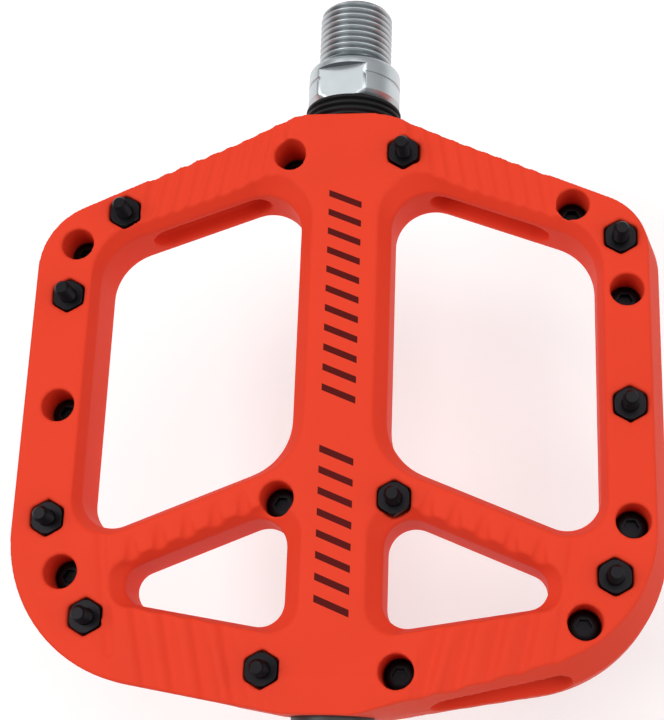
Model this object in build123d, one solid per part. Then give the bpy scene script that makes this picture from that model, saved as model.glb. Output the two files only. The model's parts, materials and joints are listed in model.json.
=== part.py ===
from build123d import *
import math
import os

# Flat bicycle pedal, millimetres.
# Origin: centre of the spindle's shoulder face, the face that seats on the crank arm.
# +Y runs along the spindle towards the crank, +X across the platform, +Z out of the tread.
# The platform is the same on both treads: turning it half a turn about Y gives it back.

# spindle, 9/16 inch pedal thread
THREAD_R = 7.14
THREAD_END = 13.8
THREAD_DOME = 1.8
THREAD_TIP_R = 4.9
RELIEF_R = 6.3
RELIEF_LENGTH = 1.3
SHOULDER_RELIEF = 0.3
COLLAR_R = 9.0
COLLAR_END = -7.8
COLLAR_CHAMFER = 0.9
WRENCH_FLATS = 15.0
WRENCH_TOP = -1.5
FLATS_TURN = -12.0
SEAL_SEAT_R = 6.3
JOURNAL_R = 5.5
JOURNAL_END = -27.0
WAIST_R = 4.0
TAPER_END = -60.0
STUB_R = 3.0
STUB_END = -123.3
KEY_SOCKET = 6.0
KEY_DEPTH = 6.0

# platform
NECK_Y = -12.4
HUB_END_Y = -124.0
FACE_Z = 7.6
END_Z = 8.8
HALF_WIDTH = 58.2
NECK_HALF = 10.0
NECK_EDGE_HALF = 6.8
NECK_CORNER_R = 20.0
TOP_CORNER_Y = -34.0
LOW_CORNER_Y = -115.5
HUB_END_HALF = 8.3
TOP_CORNER_R = 13.3
LOW_CORNER_R = 27.0
FLANK_INSET = 2.8
FLANK_LOW_CORNER_Y = -108.9
FLANK_LOW_CORNER_R = 24.0
FLANK_HUB_HALF = 4.5
NECK_RAMP = (-20.7, -26.4)
HUB_RAMP = (-117.7, -110.9)
SIDE_RAMP = (12.0, 22.0)

# windows: corner points of one side, with their radii
BIG_WINDOW = [(8.6, -24.3), (46.5, -38.1), (46.5, -94.9), (8.6, -79.4)]
BIG_RADII = [7.5, 10.0, 6.0, 11.0]
BIG_FLARE = [1.9, 1.1, 1.4, 2.5]
SMALL_WINDOW = [(8.6, -87.7), (47.1, -103.6), (8.6, -109.9)]
SMALL_RADII = [5.0, 3.75, 4.3]
SMALL_FLARE = [1.4, 1.0, 3.0]
FLARE_START = 4.8
FLARE_TOP = 9.4

# fine ripples on the bars next to the crank: the first one's place, and the step to the next
RIPPLE_START = (14.4, -24.0)
RIPPLE_PITCH = 2.97
RIPPLE_COUNT = 9
RIPPLE_SLOPE = -0.4
RIPPLE_LEAN = 10.0
RIPPLE_R = 2.1
RIPPLE_DEPTH = 0.65
RIPPLE_HALF_LENGTH = 12.0

# saw-tooth ripples on the outboard bars: profile across one tooth, and the step to the next
TOOTH = [(-3.3, 2.0), (-2.5, 0.05), (0.1, -0.85), (1.6, 0.05), (2.1, 2.0)]
TOOTH_START = 12.4
TOOTH_PITCH = 5.06
TOOTH_COUNT = 5
TOOTH_LEAN = 13.0
TOOTH_Y = -115.0
TOOTH_INBOARD = 6.0
TOOTH_OUTBOARD = 18.0
FIRST_TOOTH_CUT = 12.5
LONG_GROOVE_R = 1.7
LONG_GROOVE_LIFT = 1.3
LONG_GROOVE = [(41.95, -92.0), (38.4, -115.0)]

# scallops on the diagonal arms
SCALLOP_START = (16.2, -88.2)
SCALLOP_PITCH = 4.9
SCALLOP_COUNT = 5
SCALLOP_SLOPE = -0.41
SCALLOP_R = 1.6

# cored slots in the bars: middle, slope, length, width and depth either side of the middle
INNER_SLOT = (26.8, -30.9, 0.365, 24.0, 6.4, 3.0)
OUTER_SLOT = (29.2, -120.5, -0.171, 25.0, 7.0, 3.1)

# traction screws: distance from the axis, position along it, height of the tread there
STATIONS = [
    (42.3, -31.5, FACE_Z),
    (50.9, -38.0, FACE_Z),
    (51.8, -48.3, FACE_Z),
    (51.8, -69.7, FACE_Z),
    (51.8, -90.6, FACE_Z),
    (48.5, -100.2, FACE_Z),
    (43.3, -108.0, FACE_Z),
    (11.5, -116.7, END_Z - 0.2),
    (10.4, -86.8, FACE_Z),
    (10.8, -20.6, END_Z),
]
LEFT_UP = [True, False, True, False, True, False, True, True, False, False]
SCREW_R = 1.48
SCREW_LENGTH = 10.0
SCREW_TIP = 4.05
HEAD_R = 2.75
HEAD_HEIGHT = 3.0
HEAD_SOCKET = 2.5
SHANK_HOLE_R = 1.6
COUNTERBORE_R = 3.05
NUT_FLATS = 5.5
NUT_HEIGHT = 2.4
NUT_POCKET_FLATS = 6.05
NUT_POCKET_DEPTH = 2.8
NUT_RECESS = 0.1

# bearings
HUB_BORE_R = 6.5
BUSH_START = -12.9
BUSH_END = -26.0
BUSH_LINER_R = 5.95
BUSH_BORE_R = 5.55
BEARING_WIDTH = 5.0
BEARING_START = -108.4
BEARING_CENTRES = [BEARING_START - 2.5, BEARING_START - 7.5]
PITCH_R = 4.75
BALL_R = 1.0
BALL_COUNT = 8
GROOVE_R = 1.04
INNER_RACE_R = 4.0
OUTER_RACE_R = 5.5
BEARINGS_END = BEARING_START - 2 * BEARING_WIDTH


def unit(x, y):
    length = math.hypot(x, y)
    return x / length, y / length


def rounded_face(points, radii, z):
    """Flat face at height z with straight sides and a round at each corner."""
    corners = []
    for i, (px, py) in enumerate(points):
        ax, ay = points[i - 1]
        bx, by = points[(i + 1) % len(points)]
        ux, uy = unit(ax - px, ay - py)
        vx, vy = unit(bx - px, by - py)
        half = math.acos(ux * vx + uy * vy) / 2
        run = radii[i] / math.tan(half)
        mx, my = unit(ux + vx, uy + vy)
        reach = radii[i] / math.sin(half) - radii[i]
        start = (px + ux * run, py + uy * run, z)
        middle = (px + mx * reach, py + my * reach, z)
        end = (px + vx * run, py + vy * run, z)
        corners.append((start, middle, end))
    edges = []
    for i, (start, middle, end) in enumerate(corners):
        edges.append(Line(corners[i - 1][2], start))
        if radii[i] > 0:
            edges.append(ThreePointArc(start, middle, end))
    return make_face(edges)


def grown(points, distances):
    """Corner points after each side has moved outwards; side i runs from point i to the next."""
    sides = []
    for i, (px, py) in enumerate(points):
        qx, qy = points[(i + 1) % len(points)]
        dx, dy = unit(qx - px, qy - py)
        sides.append((px - dy * distances[i], py + dx * distances[i], dx, dy))
    result = []
    for i, (px, py, dx, dy) in enumerate(sides):
        qx, qy, ex, ey = sides[i - 1]
        along = ((qx - px) * ey - (qy - py) * ex) / (dx * ey - dy * ex)
        result.append((px + dx * along, py + dy * along))
    return result


def lathe(profile):
    """Solid of revolution about Y from (radius, y) points."""
    return revolve(make_face(Polyline(*profile, close=True)), Axis.Y)


def ring(inner_r, outer_r, start_y, end_y):
    return lathe([(inner_r, start_y), (outer_r, start_y), (outer_r, end_y), (inner_r, end_y)])


def rod(radius, start, end):
    """Round bar between two points."""
    a = Vector(*start)
    b = Vector(*end)
    plane = Plane(origin=(a + b) * 0.5, z_dir=b - a)
    return plane * Cylinder(radius, (b - a).length)


def upright(x, y, low_z, high_z, radius):
    return Pos(x, y, (low_z + high_z) / 2) * Cylinder(radius, high_z - low_z)


def upright_hexagon(x, y, low_z, high_z, flats):
    """Hexagonal prism with two corners pointing along Y."""
    profile = RegularPolygon(flats / 2, 6, major_radius=False, rotation=30)
    return Pos(x, y, low_z) * extrude(profile, high_z - low_z)


def tread_z(x, y):
    """Height of the tread surface over the axis."""
    if NECK_RAMP[1] > y > HUB_RAMP[1]:
        return FACE_Z
    share = (abs(x) - SIDE_RAMP[0]) / (SIDE_RAMP[1] - SIDE_RAMP[0])
    return END_Z - (END_Z - FACE_Z) * min(max(share, 0.0), 1.0)


def half_platform():
    """The +X half: upright below the parting plane, sloped flank above it."""
    outline = [
        (0, NECK_Y),
        (NECK_HALF, NECK_Y),
        (HALF_WIDTH, TOP_CORNER_Y),
        (HALF_WIDTH, LOW_CORNER_Y),
        (HUB_END_HALF, HUB_END_Y),
        (0, HUB_END_Y),
    ]
    slope = (TOP_CORNER_Y - NECK_Y) / (HALF_WIDTH - NECK_EDGE_HALF)
    tread_edge = [
        (0, NECK_Y),
        (NECK_EDGE_HALF, NECK_Y),
        (HALF_WIDTH - FLANK_INSET, TOP_CORNER_Y - slope * FLANK_INSET),
        (HALF_WIDTH - FLANK_INSET, FLANK_LOW_CORNER_Y),
        (FLANK_HUB_HALF, HUB_END_Y),
        (0, HUB_END_Y),
    ]
    radii = [0, NECK_CORNER_R, TOP_CORNER_R, LOW_CORNER_R, 0, 0]
    edge_radii = [0, NECK_CORNER_R, TOP_CORNER_R - FLANK_INSET, FLANK_LOW_CORNER_R, 0, 0]
    lower = extrude(rounded_face(outline, radii, -END_Z), END_Z)
    upper = loft([rounded_face(outline, radii, 0), rounded_face(tread_edge, edge_radii, END_Z)], ruled=True)
    return lower + upper


def tread_relief():
    """Everything above the tread: a shallow dish between the two raised hub ends."""
    top = END_Z + 4
    dish_profile = [
        (NECK_RAMP[0], END_Z),
        (NECK_RAMP[1], FACE_Z),
        (HUB_RAMP[1], FACE_Z),
        (HUB_RAMP[0], END_Z),
        (HUB_RAMP[0], top),
        (NECK_RAMP[0], top),
    ]
    dish = extrude(make_face(Plane.YZ * Polyline(*dish_profile, close=True)), HALF_WIDTH + 5, both=True)
    side_profile = [
        (SIDE_RAMP[0], END_Z),
        (SIDE_RAMP[1], FACE_Z),
        (HALF_WIDTH + 5, FACE_Z),
        (HALF_WIDTH + 5, top),
        (SIDE_RAMP[0], top),
    ]
    side = extrude(make_face(Plane.XZ * Polyline(*side_profile, close=True)), -HUB_END_Y + 10)
    return dish + side + side.mirror(Plane.YZ)


def window(points, radii, flare):
    """Through window whose edges open out towards both treads."""
    rise = (FLARE_TOP - FLARE_START) / (FACE_Z - FLARE_START)
    wide = grown(points, [rise * d for d in flare])
    wide_radii = [r + 1.0 for r in radii]
    wall = extrude(rounded_face(points, radii, -FLARE_START), 2 * FLARE_START)
    mouth = loft([rounded_face(points, radii, FLARE_START), rounded_face(wide, wide_radii, FLARE_TOP)], ruled=True)
    return wall + mouth + mouth.mirror(Plane.XY)


def top_bar_ripples(side):
    """Fine ripples across the bars next to the crank, on the upper tread."""
    tools = []
    start_x, start_y = RIPPLE_START
    dx = RIPPLE_HALF_LENGTH * math.sin(math.radians(RIPPLE_LEAN))
    dy = RIPPLE_HALF_LENGTH * math.cos(math.radians(RIPPLE_LEAN))
    for i in range(RIPPLE_COUNT):
        x = start_x + RIPPLE_PITCH * i
        y = start_y + RIPPLE_SLOPE * (x - start_x)
        z = tread_z(x, NECK_RAMP[0]) + RIPPLE_R - RIPPLE_DEPTH
        tools.append(rod(RIPPLE_R, (side * (x - dx), y + dy, z), (side * (x + dx), y - dy, z)))
    return tools


def low_bar_ripples(side):
    """Broad saw-tooth ripples across the outboard bars, and one long groove at their outer end."""
    tools = []
    lean = math.radians(TOOTH_LEAN)
    start_y = HUB_RAMP[1] + 1.5
    profile = make_face(Polyline(*[(side * px, pz) for px, pz in TOOTH], close=True))
    for i in range(TOOTH_COUNT):
        x = TOOTH_START + TOOTH_PITCH * i
        rise = (tread_z(x, HUB_END_Y) - FACE_Z) / (start_y - HUB_RAMP[0])
        plane = Plane(
            origin=(side * (x + math.tan(lean) * (start_y - TOOTH_Y)), start_y, FACE_Z),
            x_dir=(math.cos(lean), -side * math.sin(lean), 0),
            z_dir=(-side * math.sin(lean), -math.cos(lean), rise),
        )
        first = FIRST_TOOTH_CUT if i == 0 else 0.0
        tools.append(extrude(plane.offset(first) * profile, TOOTH_OUTBOARD - first))
        if i > 0:
            tools.append(extrude(plane * profile, -TOOTH_INBOARD))
    groove_z = FACE_Z + LONG_GROOVE_LIFT
    ends = [(side * x, y, groove_z) for x, y in LONG_GROOVE]
    tools.append(rod(LONG_GROOVE_R, *ends))
    return tools


def arm_scallops(side):
    """Short scallops along the small windows' inboard edge."""
    tools = []
    start_x, start_y = SCALLOP_START
    for i in range(SCALLOP_COUNT):
        x = start_x + SCALLOP_PITCH * i
        y = start_y + SCALLOP_SLOPE * (x - start_x)
        start = (side * (x + 0.7), y + 5.0, FACE_Z + 2.0)
        end = (side * (x - 0.9), y - 6.0, FACE_Z - 0.4)
        tools.append(rod(SCALLOP_R, start, end))
    return tools


def bar_pockets(side):
    """Cored slots: one in each crank-side bar's inner wall, one in each outboard bar's outer wall."""
    pockets = []
    for x, y, slope, length, width, depth in (INNER_SLOT, OUTER_SLOT):
        plane = Plane(origin=(side * x, y, 0), x_dir=(1, -side * slope, 0), z_dir=(side * slope, 1, 0))
        pockets.append(extrude(plane * SlotOverall(length, width), depth, both=True))
    return pockets


def screw_places(upper):
    """(x, y, tread height) of the screws whose tips stand out of the upper or lower tread."""
    places = []
    for (x, y, z), left_up in zip(STATIONS, LEFT_UP):
        side = -1 if left_up == upper else 1
        places.append((side * x, y, z))
    return places


def screw_holes(upper):
    tools = []
    for x, y, face in screw_places(upper):
        seat = face + SCREW_TIP - SCREW_LENGTH
        hole = upright(x, y, -12, 12, SHANK_HOLE_R)
        low = face - NUT_POCKET_DEPTH
        if upper:
            hole += upright(x, y, -12, seat, COUNTERBORE_R)
            hole += upright_hexagon(x, y, low, 12, NUT_POCKET_FLATS)
        else:
            hole += upright(x, y, -seat, 12, COUNTERBORE_R)
            hole += upright_hexagon(x, y, -12, -low, NUT_POCKET_FLATS)
        tools.append(hole)
    return tools


def hub_bore():
    """Stepped bore for the bush, the spindle, the bearings, the retaining ring and the cap."""
    return lathe(
        [
            (0, 0),
            (HUB_BORE_R, 0),
            (HUB_BORE_R, BUSH_END),
            (6.0, BUSH_END),
            (6.0, TAPER_END),
            (5.2, TAPER_END - 6),
            (5.2, BEARING_START),
            (HUB_BORE_R, BEARING_START),
            (HUB_BORE_R, BEARINGS_END - 0.05),
            (6.95, BEARINGS_END - 0.05),
            (6.95, BEARINGS_END - 0.95),
            (HUB_BORE_R, BEARINGS_END - 0.95),
            (HUB_BORE_R, HUB_END_Y - 5),
            (0, HUB_END_Y - 5),
        ]
    )


def pedal_body():
    half = half_platform()
    body = half + half.rotate(Axis.Y, 180)
    relief = tread_relief()
    body = body - relief - relief.rotate(Axis.Y, 180)
    for points, radii, flare in (
        (BIG_WINDOW, BIG_RADII, BIG_FLARE),
        (SMALL_WINDOW, SMALL_RADII, SMALL_FLARE),
    ):
        opening = window(points, radii, flare)
        body = body - opening - opening.mirror(Plane.YZ)
    tools = []
    for side in (1, -1):
        tools += top_bar_ripples(side)
        tools += low_bar_ripples(side)
        tools += arm_scallops(side)
    tools += [tool.rotate(Axis.Y, 180) for tool in tools]
    for side in (1, -1):
        tools += bar_pockets(side)
    tools += screw_holes(True)
    tools += screw_holes(False)
    tools.append(hub_bore())
    return body - tools


def spindle():
    """Steel spindle: threaded crank end, collar with two wrench flats, journals and bearing stub."""
    blank = lathe(
        [
            (0, THREAD_END),
            (THREAD_TIP_R, THREAD_END),
            (THREAD_R - 0.8, THREAD_END - 0.7),
            (THREAD_R, THREAD_END - THREAD_DOME),
            (THREAD_R, RELIEF_LENGTH),
            (RELIEF_R, RELIEF_LENGTH - 0.5),
            (RELIEF_R, -SHOULDER_RELIEF),
            (THREAD_R + 0.15, -SHOULDER_RELIEF),
            (THREAD_R + 0.15, 0),
            (COLLAR_R - 0.5, 0),
            (COLLAR_R, -0.5),
            (COLLAR_R, COLLAR_END + COLLAR_CHAMFER),
            (COLLAR_R - COLLAR_CHAMFER, COLLAR_END),
            (SEAL_SEAT_R, COLLAR_END),
            (SEAL_SEAT_R, NECK_Y),
            (JOURNAL_R, NECK_Y - 0.3),
            (JOURNAL_R, JOURNAL_END),
            (WAIST_R, TAPER_END),
            (WAIST_R, BEARING_START),
            (STUB_R, BEARING_START),
            (STUB_R, STUB_END + 0.5),
            (STUB_R - 0.5, STUB_END),
            (0, STUB_END),
        ]
    )
    middle = (WRENCH_TOP + COLLAR_END) / 2
    for side in (1, -1):
        z = side * (WRENCH_FLATS / 2 + 5)
        flat = Pos(0, middle, z) * Box(2 * COLLAR_R + 2, WRENCH_TOP - COLLAR_END, 10)
        blank -= flat.rotate(Axis.Y, FLATS_TURN)
    blank -= ring(COLLAR_R - 0.25, COLLAR_R + 1, -3.3, -3.8)
    key = Plane(origin=(0, THREAD_END, 0), z_dir=(0, -1, 0)) * RegularPolygon(KEY_SOCKET / 2, 6, major_radius=False)
    return blank - extrude(key, KEY_DEPTH)


def axle_seal():
    """Rubber seal with three ribs, between the collar and the hub."""
    points = [(SEAL_SEAT_R, COLLAR_END - 0.1), (8.1, COLLAR_END - 0.1), (8.5, COLLAR_END - 0.4)]
    for i in range(3):
        y = COLLAR_END - 0.5 - 1.25 * i
        points += [(8.5, y), (9.3, y - 0.25), (9.3, y - 0.75), (8.5, y - 1.0)]
    points += [(8.5, NECK_Y + 0.2), (SEAL_SEAT_R, NECK_Y + 0.2)]
    return lathe(points)


def bush_shell():
    return ring(BUSH_LINER_R, HUB_BORE_R, BUSH_START, BUSH_END)


def bush_liner():
    return ring(BUSH_BORE_R, BUSH_LINER_R, BUSH_START, BUSH_END)


def race(inner_r, outer_r, centre_y):
    """Bearing ring with a ball groove at the pitch radius."""
    half = BEARING_WIDTH / 2
    blank = ring(inner_r, outer_r, centre_y + half, centre_y - half)
    groove = Plane.XY * Pos(PITCH_R, centre_y) * Circle(GROOVE_R)
    return blank - revolve(groove, Axis.Y)


def on_pitch_circle(shape):
    """Copies of a shape turned about Y, one for each ball."""
    return [shape.rotate(Axis.Y, 360 / BALL_COUNT * i) for i in range(BALL_COUNT)]


def balls(centre_y):
    ball = Pos(PITCH_R, centre_y, 0) * Sphere(BALL_R)
    return Compound(children=on_pitch_circle(ball))


def cage(centre_y):
    pocket = rod(BALL_R + 0.1, (PITCH_R - 1, centre_y, 0), (PITCH_R + 1, centre_y, 0))
    return ring(PITCH_R - 0.3, PITCH_R + 0.3, centre_y + 1.3, centre_y - 1.3) - on_pitch_circle(pocket)


def shields(centre_y):
    near = ring(INNER_RACE_R + 0.12, OUTER_RACE_R, centre_y + 2.35, centre_y + 2.0)
    far = ring(INNER_RACE_R + 0.12, OUTER_RACE_R, centre_y - 2.0, centre_y - 2.35)
    return Compound(children=[near, far])


def spindle_washer():
    return ring(STUB_R + 0.05, 4.4, BEARINGS_END, BEARINGS_END - 0.6)


def spindle_nut():
    """Hexagon nut on the spindle's outboard end, with a recess for its locking ring."""
    start = BEARINGS_END - 0.6
    plane = Plane(origin=(0, start, 0), z_dir=(0, -1, 0))
    nut = extrude(plane * RegularPolygon(4.0, 6, major_radius=False), 3.7)
    nut -= ring(0, STUB_R, start + 1, start - 5)
    return nut - ring(STUB_R, 3.6, start - 2.8, start - 3.8)


def nut_locking_ring():
    start = BEARINGS_END - 0.6
    return ring(STUB_R, 3.6, start - 2.8, start - 3.6)


def retaining_ring():
    """Internal spring ring that holds the bearings in the hub."""
    start = BEARINGS_END - 0.1
    end = BEARINGS_END - 0.9
    clip = ring(6.0, 6.9, start, end)
    clip -= Pos(0, (start + end) / 2, 7) * Box(5.0, 2, 6)
    for side in (1, -1):
        lug = rod(0.75, (side * 3.1, start, 5.05), (side * 3.1, end, 5.05))
        lug -= rod(0.4, (side * 3.1, start + 1, 5.05), (side * 3.1, end - 1, 5.05))
        clip += lug
    return clip


def end_cap():
    """Push-in cap with a bevelled rim and a skirt grooved for its O-ring."""
    return lathe(
        [
            (0, HUB_END_Y - 2.0),
            (5.6, HUB_END_Y - 2.0),
            (7.3, HUB_END_Y - 0.9),
            (7.3, HUB_END_Y),
            (6.4, HUB_END_Y),
            (6.4, HUB_END_Y + 1.2),
            (5.8, HUB_END_Y + 1.2),
            (5.8, HUB_END_Y + 2.1),
            (6.4, HUB_END_Y + 2.1),
            (6.4, HUB_END_Y + 3.0),
            (5.3, HUB_END_Y + 3.0),
            (5.3, HUB_END_Y),
            (0, HUB_END_Y),
        ]
    )


def end_cap_o_ring():
    section = Pos(6.14, HUB_END_Y + 1.65) * Circle(0.34)
    return revolve(section, Axis.Y)


def screw():
    """Socket-head screw pointing up, head seat at the origin."""
    body = Pos(0, 0, (SCREW_LENGTH - 0.6) / 2) * Cylinder(SCREW_R, SCREW_LENGTH - 0.6)
    body += Pos(0, 0, SCREW_LENGTH - 0.3) * Cone(SCREW_R, SCREW_R - 0.45, 0.6)
    head = Pos(0, 0, -HEAD_HEIGHT / 2) * Cylinder(HEAD_R, HEAD_HEIGHT)
    head = chamfer(head.edges().group_by(Axis.Z)[0], 0.3)
    socket = Pos(0, 0, -HEAD_HEIGHT) * extrude(RegularPolygon(HEAD_SOCKET / 2, 6, major_radius=False), 1.4)
    return body + head - socket


def nut():
    """Hexagon nut with chamfered corners, lower face at the origin, corners along Y."""
    blank = upright_hexagon(0, 0, 0, NUT_HEIGHT, NUT_FLATS)
    crown = chamfer(Cylinder(3.3, NUT_HEIGHT).edges().filter_by(GeomType.CIRCLE), 0.45)
    crown = Pos(0, 0, NUT_HEIGHT / 2) * crown
    return (blank & crown) - upright(0, 0, -1, NUT_HEIGHT + 1, SCREW_R + 0.03)


def hardware(shape, offset, upper):
    """One copy of a screw or nut at each station of one tread."""
    copies = []
    for x, y, face in screw_places(True):
        copy = Pos(x, y, face + offset) * shape
        copies.append(copy if upper else copy.rotate(Axis.Y, 180))
    return Compound(children=copies)


def make_parts():
    parts = {
        "pedal_body": pedal_body(),
        "spindle": spindle(),
        "axle_seal": axle_seal(),
        "bush_shell": bush_shell(),
        "bush_liner": bush_liner(),
        "spindle_washer": spindle_washer(),
        "spindle_nut": spindle_nut(),
        "nut_locking_ring": nut_locking_ring(),
        "retaining_ring": retaining_ring(),
        "end_cap": end_cap(),
        "end_cap_o_ring": end_cap_o_ring(),
        "screws_upper": hardware(screw(), SCREW_TIP - SCREW_LENGTH, True),
        "screws_lower": hardware(screw(), SCREW_TIP - SCREW_LENGTH, False),
        "nuts_upper": hardware(nut(), -NUT_RECESS - NUT_HEIGHT, True),
        "nuts_lower": hardware(nut(), -NUT_RECESS - NUT_HEIGHT, False),
    }
    for name, centre_y in zip(("bearing_a", "bearing_b"), BEARING_CENTRES):
        parts[name + "_inner_race"] = race(STUB_R, INNER_RACE_R, centre_y)
        parts[name + "_outer_race"] = race(OUTER_RACE_R, HUB_BORE_R, centre_y)
        parts[name + "_balls"] = balls(centre_y)
        parts[name + "_cage"] = cage(centre_y)
        parts[name + "_shields"] = shields(centre_y)
    return parts


os.makedirs("parts", exist_ok=True)
for node, shape in make_parts().items():
    export_step(shape, "parts/" + node + ".step")
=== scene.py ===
import json
import math

import bpy
from mathutils import Matrix, Vector


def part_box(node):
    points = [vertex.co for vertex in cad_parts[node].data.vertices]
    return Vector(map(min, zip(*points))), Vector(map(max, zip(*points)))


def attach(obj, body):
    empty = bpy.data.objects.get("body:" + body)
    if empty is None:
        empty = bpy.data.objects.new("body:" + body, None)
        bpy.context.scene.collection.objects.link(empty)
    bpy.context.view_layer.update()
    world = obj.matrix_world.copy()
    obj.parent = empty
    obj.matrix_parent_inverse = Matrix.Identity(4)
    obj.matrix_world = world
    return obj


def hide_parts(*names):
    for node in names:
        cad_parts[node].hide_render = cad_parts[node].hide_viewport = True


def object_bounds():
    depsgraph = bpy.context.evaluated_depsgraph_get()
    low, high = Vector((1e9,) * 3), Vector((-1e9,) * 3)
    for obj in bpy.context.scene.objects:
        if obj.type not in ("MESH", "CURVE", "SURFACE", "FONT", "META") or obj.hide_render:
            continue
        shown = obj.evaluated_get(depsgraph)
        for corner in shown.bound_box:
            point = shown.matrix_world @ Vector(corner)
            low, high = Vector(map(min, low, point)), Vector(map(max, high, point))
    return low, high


MM = 0.001
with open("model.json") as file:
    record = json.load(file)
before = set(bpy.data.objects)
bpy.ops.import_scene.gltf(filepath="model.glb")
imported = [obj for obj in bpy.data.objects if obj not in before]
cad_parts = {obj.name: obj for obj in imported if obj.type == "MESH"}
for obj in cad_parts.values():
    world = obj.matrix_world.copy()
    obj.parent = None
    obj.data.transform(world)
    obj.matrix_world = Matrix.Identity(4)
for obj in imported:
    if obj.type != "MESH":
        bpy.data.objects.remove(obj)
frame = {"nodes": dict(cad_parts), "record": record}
cad_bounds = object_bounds()
nodes = frame["nodes"]
scene = bpy.context.scene

# spindle, millimetres along its axis from the shoulder face
THREAD_R = 7.14
THREAD_PITCH = 1.27
THREAD_DEPTH = 0.72
THREAD_START = 1.3
THREAD_FOOT = 0.9
THREAD_END = 13.8
THREAD_TIP_R = 4.3
DOME_START = 12.0
DOME_R = 4.6
RELIEF_R = 6.3
ROWS_PER_PITCH = 18
SPINDLE_ANGLES = 144
COLLAR_R = 9.0
FLAT_HALF = 7.5
FLAT_TURN = math.radians(-12)
FLAT_TOP = -1.5
FLAT_END = -7.8
KEY_HALF = 3.0
KEY_DEPTH = 6.0

# M3 socket-head screws
SCREW_R = 1.48
SCREW_PITCH = 0.5
SCREW_DEPTH = 0.28
THREADED_LENGTH = 5.5
HEAD_R = 2.75
HEAD_HEIGHT = 3.0
SOCKET_HALF = 1.25
SOCKET_DEPTH = 1.4
SCREW_ROWS_PER_PITCH = 10
SCREW_ANGLES = 36
TURN_BETWEEN_SCREWS = 1.7
SAME_SCREW = 8.0

# printed bars along the hub
PRINT_TOP = -28.0
PRINT_END = -107.5
PRINT_GAP = -73.4
PRINT_GAP_HALF = 3.8
PRINT_PITCH = 3.8
PRINT_SHARE = 0.34
PRINT_SLANT = 0.42
PRINT_HALF = 3.1
PRINT_LOWEST = 7.3

# the floor is clear of the platform as it turns
FLOOR_GAP = 0.008
FLOOR_HALF = 20.0

# the platform's moulded edges, millimetres
VOXEL = 0.35
EDGE_ROUND = 0.1

# the camera: its place in metres, and its own right and up directions
CAMERA_PLACE = (0.03384, -0.13798, 0.24892)
CAMERA_RIGHT = (0.99514, 0.02396, -0.09556)
CAMERA_UP = (0.0056, 0.95467, 0.29762)
CAMERA_LENS = 70.5
CAMERA_SHIFT = (-0.078, 0.008)
WORLD_STRENGTH = 0.42

LEFT_HAND = 1
RIGHT_HAND = -1


# ---------------------------------------------------------------- materials


class Shader:
    """A material's node tree, with short calls for the few nodes used here."""

    def __init__(self, name):
        self.material = bpy.data.materials.new(name)
        self.material.use_nodes = True
        self.tree = self.material.node_tree
        self.bsdf = self.tree.nodes["Principled BSDF"]
        self.coordinates = self.tree.nodes.new("ShaderNodeTexCoord")
        self.place = self.coordinates.outputs["Object"]

    def put(self, target, value):
        if hasattr(value, "is_linked"):
            self.tree.links.new(value, target)
        else:
            target.default_value = value

    def maths(self, operation, a, b=0.0, c=0.0):
        node = self.tree.nodes.new("ShaderNodeMath")
        node.operation = operation
        for socket, value in zip(node.inputs, (a, b, c)):
            self.put(socket, value)
        return node.outputs[0]

    def stretched(self, scale):
        node = self.tree.nodes.new("ShaderNodeMapping")
        self.put(node.inputs["Vector"], self.place)
        self.put(node.inputs["Scale"], scale)
        return node.outputs[0]

    def noise(self, size, detail=3.0, vector=None):
        """Noise from 0 to 1 with features of a size in metres."""
        node = self.tree.nodes.new("ShaderNodeTexNoise")
        self.put(node.inputs["Vector"], vector or self.place)
        self.put(node.inputs["Scale"], 1.0 / size)
        self.put(node.inputs["Detail"], detail)
        return node.outputs["Fac"]

    def between(self, value, low, high):
        """A value of 0 to 1 turned into one from low to high."""
        node = self.tree.nodes.new("ShaderNodeMapRange")
        self.put(node.inputs["Value"], value)
        self.put(node.inputs["To Min"], low)
        self.put(node.inputs["To Max"], high)
        return node.outputs[0]

    def mixed(self, share, first, second):
        node = self.tree.nodes.new("ShaderNodeMix")
        node.data_type = "RGBA"
        self.put(node.inputs["Factor"], share)
        self.put(node.inputs["A"], first)
        self.put(node.inputs["B"], second)
        return node.outputs["Result"]

    def bump(self, height, strength, distance):
        node = self.tree.nodes.new("ShaderNodeBump")
        self.put(node.inputs["Height"], height)
        self.put(node.inputs["Strength"], strength)
        self.put(node.inputs["Distance"], distance)
        self.put(self.bsdf.inputs["Normal"], node.outputs[0])

    def set(self, **values):
        for key, value in values.items():
            self.put(self.bsdf.inputs[key.replace("_", " ")], value)


def shaded(colour, factor):
    return tuple(min(1.0, c * factor) for c in colour[:3]) + (1.0,)


def plastic(name, colour, roughness, grain=0.00025, relief=0.00001, specular=0.5):
    s = Shader(name)
    cloud = s.noise(0.012)
    s.set(
        Base_Color=s.mixed(cloud, shaded(colour, 0.95), shaded(colour, 1.05)),
        Roughness=s.between(s.noise(grain, 2.0), roughness - 0.05, roughness + 0.06),
        Specular_IOR_Level=specular,
    )
    s.bump(s.noise(grain, 2.0), 0.5, relief)
    return s.material


def metal(name, colour, roughness, lines=(1.0, 1.0, 1.0), grain=0.0004):
    """Machined metal; lines stretches the tool marks along an axis."""
    s = Shader(name)
    marks = s.noise(grain, 3.0, s.stretched(lines))
    cloud = s.noise(0.004)
    s.set(
        Base_Color=s.mixed(cloud, shaded(colour, 0.92), shaded(colour, 1.06)),
        Metallic=1.0,
        Roughness=s.between(marks, roughness - 0.07, roughness + 0.09),
    )
    s.bump(marks, 0.35, 0.000006)
    return s.material


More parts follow.
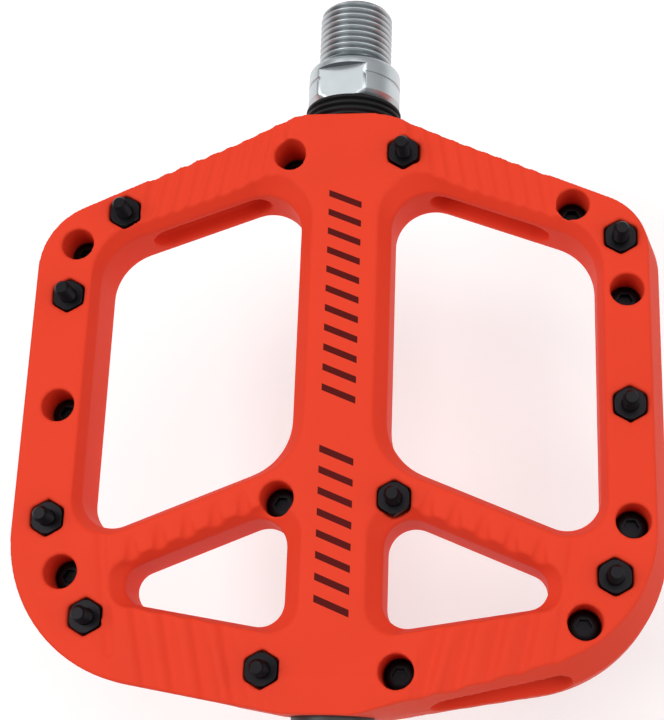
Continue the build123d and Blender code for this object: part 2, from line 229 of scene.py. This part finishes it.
def turned_steel(name):
    """Plated steel, with painted shade in the thread's roots and on the step above the wrench flats."""
    s = Shader(name)
    axes = s.tree.nodes.new("ShaderNodeSeparateXYZ")
    s.put(axes.inputs[0], s.place)
    x, y, z = axes.outputs
    r = s.maths("SQRT", s.maths("ADD", s.maths("MULTIPLY", x, x), s.maths("MULTIPLY", z, z)))
    # painted shade, darkest at the thread's roots and none at the crests
    depth = s.maths("DIVIDE", s.maths("SUBTRACT", THREAD_R * MM, r), THREAD_DEPTH * MM)
    on_thread = s.maths("GREATER_THAN", y, 0.3 * MM)
    clamped = s.maths("MINIMUM", s.maths("MAXIMUM", depth, 0.0), 1.0)
    painted_root_shade = s.maths("MULTIPLY", s.maths("POWER", clamped, 1.4), on_thread)
    marks = s.noise(0.0004, 3.0, s.stretched((0.15, 1.0, 0.15)))
    cloud = s.noise(0.003)
    bright = s.mixed(cloud, (0.50, 0.54, 0.56, 1.0), (0.60, 0.64, 0.66, 1.0))
    # painted shadow on the outboard-facing step above the wrench flats
    facing = s.tree.nodes.new("ShaderNodeSeparateXYZ")
    s.put(facing.inputs[0], s.coordinates.outputs["Normal"])
    outboard = s.maths("LESS_THAN", facing.outputs[1], -0.6)
    painted_step_shade = s.maths("MULTIPLY", outboard, s.maths("COMPARE", y, FLAT_TOP * MM, 1.0 * MM))
    # painted shade of the thread roots and the step, turning the plated colour dark grey
    painted_shade = s.maths("MAXIMUM", painted_step_shade, s.maths("MULTIPLY", painted_root_shade, 0.85))
    s.set(
        Base_Color=s.mixed(painted_shade, bright, (0.07, 0.075, 0.08, 1.0)),
        Metallic=1.0,
        Roughness=s.between(marks, 0.27, 0.42),
    )
    s.bump(marks, 0.35, 0.000006)
    return s.material


def print_mask(s):
    """1 on the printed bars along the hub, on both treads, and 0 elsewhere."""
    axes = s.tree.nodes.new("ShaderNodeSeparateXYZ")
    s.put(axes.inputs[0], s.place)
    x, y, z = axes.outputs
    slant = s.maths("MULTIPLY", s.maths("MULTIPLY", x, PRINT_SLANT), s.maths("SIGN", z))
    run = s.maths("ADD", y, slant)
    phase = s.maths("FRACT", s.maths("DIVIDE", run, PRINT_PITCH * MM))
    bars = s.maths("LESS_THAN", phase, PRINT_SHARE)
    middle = (PRINT_TOP + PRINT_END) / 2 * MM
    reach = (PRINT_TOP - PRINT_END) / 2 * MM
    whole = s.maths("COMPARE", run, middle, reach)
    gap = s.maths("COMPARE", run, PRINT_GAP * MM, PRINT_GAP_HALF * MM)
    bars = s.maths("MULTIPLY", bars, s.maths("SUBTRACT", whole, gap))
    inside = s.maths("LESS_THAN", s.maths("ABSOLUTE", x), PRINT_HALF * MM)
    on_face = s.maths("GREATER_THAN", s.maths("ABSOLUTE", z), PRINT_LOWEST * MM)
    return s.maths("MULTIPLY", bars, s.maths("MULTIPLY", inside, on_face))


def nylon(name, colour):
    s = Shader(name)
    cloud = s.noise(0.015)
    base = s.mixed(cloud, shaded(colour, 0.96), shaded(colour, 1.05))
    ink = print_mask(s)
    grain = s.noise(0.0003, 3.0)
    s.set(
        Base_Color=s.mixed(ink, base, (0.09, 0.004, 0.003, 1.0)),
        Roughness=s.between(grain, 0.52, 0.66),
        IOR=1.33,
        Subsurface_Weight=0.12,
        Subsurface_Radius=(1.0, 0.3, 0.2),
        Subsurface_Scale=0.0012,
        Specular_IOR_Level=0.18,
    )
    s.bump(grain, 0.55, 0.000012)
    return s.material


NYLON_COLOUR = (0.74, 0.05, 0.02)
materials = {
    "nylon": nylon("nylon", NYLON_COLOUR),
    "spindle_steel": turned_steel("spindle_steel"),
    "black_rubber": plastic("black_rubber", (0.008, 0.008, 0.009), 0.5, 0.0004, 0.000015, 0.2),
    "bearing_steel": metal("bearing_steel", (0.6, 0.6, 0.61), 0.22, (0.1, 1.0, 0.1)),
    "polished_steel": metal("polished_steel", (0.75, 0.75, 0.77), 0.12),
    "spring_steel": metal("spring_steel", (0.1, 0.1, 0.105), 0.4),
    "black_oxide_steel": metal("black_oxide_steel", (0.016, 0.015, 0.017), 0.36, grain=0.0003),
    "black_plastic": plastic("black_plastic", (0.022, 0.022, 0.023), 0.45),
    "dark_polymer": plastic("dark_polymer", (0.09, 0.09, 0.085), 0.5),
    "white_nylon": plastic("white_nylon", (0.78, 0.78, 0.75), 0.45),
    "brass": metal("brass", (0.72, 0.5, 0.2), 0.28),
}


def dress(obj, slot):
    obj.data.materials.clear()
    obj.data.materials.append(materials[slot])


slots = {p["node"]: p["material_slot"] for p in frame["record"]["subparts"]}
for node, obj in nodes.items():
    dress(obj, slots[node])


# ---------------------------------------------------------------- mesh helpers


def new_piece(name, vertices, faces, slot, body):
    mesh = bpy.data.meshes.new(name)
    mesh.from_pydata([Vector(v) * MM for v in vertices], [], faces)
    mesh.validate()
    mesh.update()
    obj = bpy.data.objects.new(name, mesh)
    scene.collection.objects.link(obj)
    dress(obj, slot)
    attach(obj, body)
    return obj


def smooth_by_angle(obj, degrees):
    """Smooth shading that keeps the edges sharper than an angle."""
    for polygon in obj.data.polygons:
        polygon.use_smooth = True
    obj.data.set_sharp_from_angle(angle=math.radians(degrees))


def skin(rows, flip=False):
    """Quads between rows of points, each row a closed loop, with the two ends capped."""
    count = len(rows[0])
    vertices = [p for row in rows for p in row]
    faces = []
    for j in range(len(rows) - 1):
        for i in range(count):
            k = (i + 1) % count
            a, b = j * count, (j + 1) * count
            faces.append((a + i, a + k, b + k, b + i))
    faces.append(tuple(reversed(range(count))))
    last = (len(rows) - 1) * count
    faces.append(tuple(last + i for i in range(count)))
    if flip:
        faces = [tuple(reversed(f)) for f in faces]
    return vertices, faces


def angles(count, extra=()):
    """Evenly spaced angles, plus those of corners that have to be sharp."""
    even = [2 * math.pi * i / count for i in range(count)]
    near = math.pi / count * 0.6
    kept = [a for a in even if all(abs((a - e + math.pi) % (2 * math.pi) - math.pi) > near for e in extra)]
    return sorted(kept + [e % (2 * math.pi) for e in extra])


def hexagon_r(half, angle):
    """Distance to the edge of a hexagon whose corners are at whole multiples of 60 degrees."""
    return half / math.cos((angle % (math.pi / 3)) - math.pi / 6)


def thread_r(crest, depth, pitch, along, angle, hand):
    """Radius of a thread with rounded crests and roots."""
    phase = along / pitch + hand * angle / (2 * math.pi)
    return crest - depth * (0.5 - 0.5 * math.cos(2 * math.pi * phase))


HEX_CORNERS = [math.pi / 3 * i for i in range(6)]


# ---------------------------------------------------------------- spindle


def spindle_mesh():
    """The whole spindle as rows of points, from the bearing stub up to the key socket."""
    box_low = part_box("spindle")[0].y / MM
    flat_edge = math.acos(FLAT_HALF / COLLAR_R)
    flat_edges = [FLAT_TURN + s * flat_edge + t for s in (1, -1) for t in (0, math.pi)]
    ring = angles(SPINDLE_ANGLES, flat_edges + HEX_CORNERS)
    rows = []

    def row(y, r):
        rows.append([(r * math.sin(a), y, r * math.cos(a)) for a in ring])

    def flat_row(y, r):
        points = []
        for a in ring:
            facing = r * math.cos(a - FLAT_TURN)
            across = r * math.sin(a - FLAT_TURN)
            facing = max(-FLAT_HALF, min(FLAT_HALF, facing))
            x = across * math.cos(FLAT_TURN) + facing * math.sin(FLAT_TURN)
            z = facing * math.cos(FLAT_TURN) - across * math.sin(FLAT_TURN)
            points.append((x, y, z))
        rows.append(points)

    stub = ((box_low, 2.5), (box_low + 0.5, 3.0), (-108.4, 3.0), (-108.4, 4.0))
    journal = ((-60.0, 4.0), (-27.0, 5.5), (-12.7, 5.5), (-12.4, RELIEF_R), (FLAT_END, RELIEF_R))
    chamfer = ((FLAT_END, 8.1), (-7.45, 8.45), (-6.9, COLLAR_R))
    groove = ((-3.9, COLLAR_R), (-3.8, 8.75), (-3.3, 8.75), (-3.2, COLLAR_R), (FLAT_TOP, COLLAR_R))
    rim = ((FLAT_TOP, COLLAR_R), (-0.7, COLLAR_R), (-0.35, 8.92), (-0.1, 8.75), (0.0, 8.5))
    undercut = ((0.0, 7.29), (-0.3, 7.2), (-0.3, RELIEF_R), (0.8, RELIEF_R))
    for y, r in stub + journal:
        row(y, r)
    for y, r in chamfer + groove:
        flat_row(y, r)
    for y, r in rim + undercut:
        row(y, r)
    steps = int((THREAD_END - THREAD_START) / THREAD_PITCH * ROWS_PER_PITCH)
    for j in range(steps + 1):
        y = THREAD_FOOT + (THREAD_END - THREAD_FOOT) * j / steps
        dome = 1.0
        if y > DOME_START:
            share = (y - DOME_START) / (THREAD_END - DOME_START)
            dome = math.sqrt(max(1.0 - 0.86 * share * share, 0.0))
        limit = DOME_R + (THREAD_R - DOME_R) * dome
        start = RELIEF_R + max(0.0, y - THREAD_FOOT) * 2.0
        rows.append([
            (r * math.sin(a), y, r * math.cos(a))
            for a in ring
            for r in [min(thread_r(THREAD_R, THREAD_DEPTH, THREAD_PITCH, y, a, LEFT_HAND), limit, start)]
        ])
    row(THREAD_END, THREAD_TIP_R)
    for y in (THREAD_END, THREAD_END - KEY_DEPTH):
        rows.append([(r * math.sin(a), y, r * math.cos(a)) for a in ring for r in [hexagon_r(KEY_HALF, a)]])
    return skin(rows, flip=True)


vertices, faces = spindle_mesh()
spindle = new_piece("spindle_turned", vertices, faces, "spindle_steel", "spindle")
smooth_by_angle(spindle, 38)
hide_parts("spindle")


# ---------------------------------------------------------------- screws


def places(node):
    """(x, y, lowest z, highest z) in millimetres of each separate solid of a node."""
    found = []
    for v in nodes[node].data.vertices:
        x, y, z = (c / MM for c in v.co)
        for group in found:
            if math.hypot(group[0][0] - x, group[0][1] - y) < SAME_SCREW:
                group.append((x, y, z))
                break
        else:
            found.append([(x, y, z)])
    result = []
    for group in found:
        xs, ys, zs = zip(*group)
        result.append(((min(xs) + max(xs)) / 2, (min(ys) + max(ys)) / 2, min(zs), max(zs)))
    return result


def screw_mesh(length, turn):
    """One screw pointing up, head seat at z = 0, as rows from the socket up to the tip."""
    ring = angles(SCREW_ANGLES, HEX_CORNERS)
    rows = []

    def row(z, r):
        rows.append([(r * math.cos(a), r * math.sin(a), z) for a in ring])

    def hexagon_row(z):
        rows.append([(r * math.cos(a), r * math.sin(a), z) for a in ring for r in [hexagon_r(SOCKET_HALF, a)]])

    hexagon_row(SOCKET_DEPTH - HEAD_HEIGHT)
    hexagon_row(-HEAD_HEIGHT)
    plain = length - THREADED_LENGTH
    head = ((-HEAD_HEIGHT, 2.4), (-2.9, 2.6), (-2.7, HEAD_R), (-0.12, HEAD_R), (0.0, 2.63))
    shank = ((0.0, SCREW_R), (plain, SCREW_R))
    for z, r in head + shank:
        row(z, r)
    steps = int(THREADED_LENGTH / SCREW_PITCH * SCREW_ROWS_PER_PITCH)
    for j in range(1, steps + 1):
        z = plain + THREADED_LENGTH * j / steps
        limit = min(SCREW_R, 1.0 + (length - z) * 0.9)
        rows.append([
            (r * math.cos(a), r * math.sin(a), z)
            for a in ring
            for r in [min(thread_r(SCREW_R, SCREW_DEPTH, SCREW_PITCH, z, a + turn, RIGHT_HAND), limit)]
        ])
    return skin(rows)


def screw_set(node, upper):
    vertices, faces = [], []
    for i, (x, y, low, high) in enumerate(places(node)):
        length = high - low - HEAD_HEIGHT
        own_vertices, own_faces = screw_mesh(length, TURN_BETWEEN_SCREWS * i)
        first = len(vertices)
        for px, py, pz in own_vertices:
            if upper:
                vertices.append((x + px, y + py, low + HEAD_HEIGHT + pz))
            else:
                vertices.append((x - px, y + py, high - HEAD_HEIGHT - pz))
        faces += [tuple(first + k for k in f) for f in own_faces]
    obj = new_piece(node + "_threaded", vertices, faces, "black_oxide_steel", "platform")
    smooth_by_angle(obj, 35)
    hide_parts(node)


screw_set("screws_upper", True)
screw_set("screws_lower", False)


# ---------------------------------------------------------------- softened edges


def softened(node):
    """Small rounds on a machined or moulded node's edges."""
    obj = nodes[node]
    weld = obj.modifiers.new("weld", "WELD")
    weld.merge_threshold = 0.000002
    bevel = obj.modifiers.new("bevel", "BEVEL")
    bevel.width = EDGE_ROUND * MM
    bevel.segments = 2
    bevel.limit_method = "ANGLE"
    bevel.angle_limit = math.radians(30)


for node in ("nuts_upper", "nuts_lower", "end_cap", "axle_seal"):
    softened(node)

body = nodes["pedal_body"]
remesh = body.modifiers.new("moulded", "REMESH")
remesh.mode = "VOXEL"
remesh.voxel_size = VOXEL * MM
remesh.use_smooth_shade = True
smooth = body.modifiers.new("soft_edges", "SMOOTH")
smooth.factor = 0.5
smooth.iterations = 3


# ---------------------------------------------------------------- floor, light, camera


def stage_floor():
    low = -(cad_bounds[1][0] + FLOOR_GAP)
    signs = ((-1, -1), (1, -1), (1, 1), (-1, 1))
    corners = [(sx * FLOOR_HALF, sy * FLOOR_HALF, low) for sx, sy in signs]
    mesh = bpy.data.meshes.new("floor")
    mesh.from_pydata(corners, [], [(0, 1, 2, 3)])
    obj = bpy.data.objects.new("floor", mesh)
    scene.collection.objects.link(obj)
    s = Shader("floor")
    s.set(
        Base_Color=(0.9, 0.9, 0.9, 1.0),
        Roughness=0.8,
        Emission_Color=(1.0, 1.0, 1.0, 1.0),
        Emission_Strength=0.18,
    )
    obj.data.materials.append(s.material)


def area_light(name, place, aim, size, watts):
    data = bpy.data.lights.new(name, "AREA")
    data.size = size
    data.energy = watts
    obj = bpy.data.objects.new(name, data)
    scene.collection.objects.link(obj)
    obj.location = place
    obj.rotation_euler = (Vector(aim) - Vector(place)).to_track_quat("-Z", "Y").to_euler()


stage_floor()
centre = (0.0, -0.055, 0.0)
area_light("key", (-0.55, -0.1, 0.75), centre, 0.5, 3.6)
area_light("rim", (-0.5, 0.5, 0.75), centre, 0.4, 0.5)
area_light("fill", (0.6, -0.15, 0.65), centre, 0.7, 2.4)
area_light("top", (0.1, 0.2, 0.95), centre, 0.6, 2.0)

world = bpy.data.worlds.new("studio")
world.use_nodes = True
scene.world = world
world.node_tree.nodes["Background"].inputs["Color"].default_value = (1.0, 1.0, 1.0, 1.0)
world.node_tree.nodes["Background"].inputs["Strength"].default_value = WORLD_STRENGTH

camera_data = bpy.data.cameras.new("camera")
camera_data.lens = CAMERA_LENS
camera_data.shift_x = CAMERA_SHIFT[0]
camera_data.shift_y = CAMERA_SHIFT[1]
camera_data.clip_start = 0.01
camera = bpy.data.objects.new("camera", camera_data)
scene.collection.objects.link(camera)
right = Vector(CAMERA_RIGHT)
up = Vector(CAMERA_UP)
turn = Matrix((right, up, right.cross(up))).transposed().to_4x4()
camera.matrix_world = Matrix.Translation(CAMERA_PLACE) @ turn
scene.camera = camera
scene.view_settings.view_transform = "Standard"
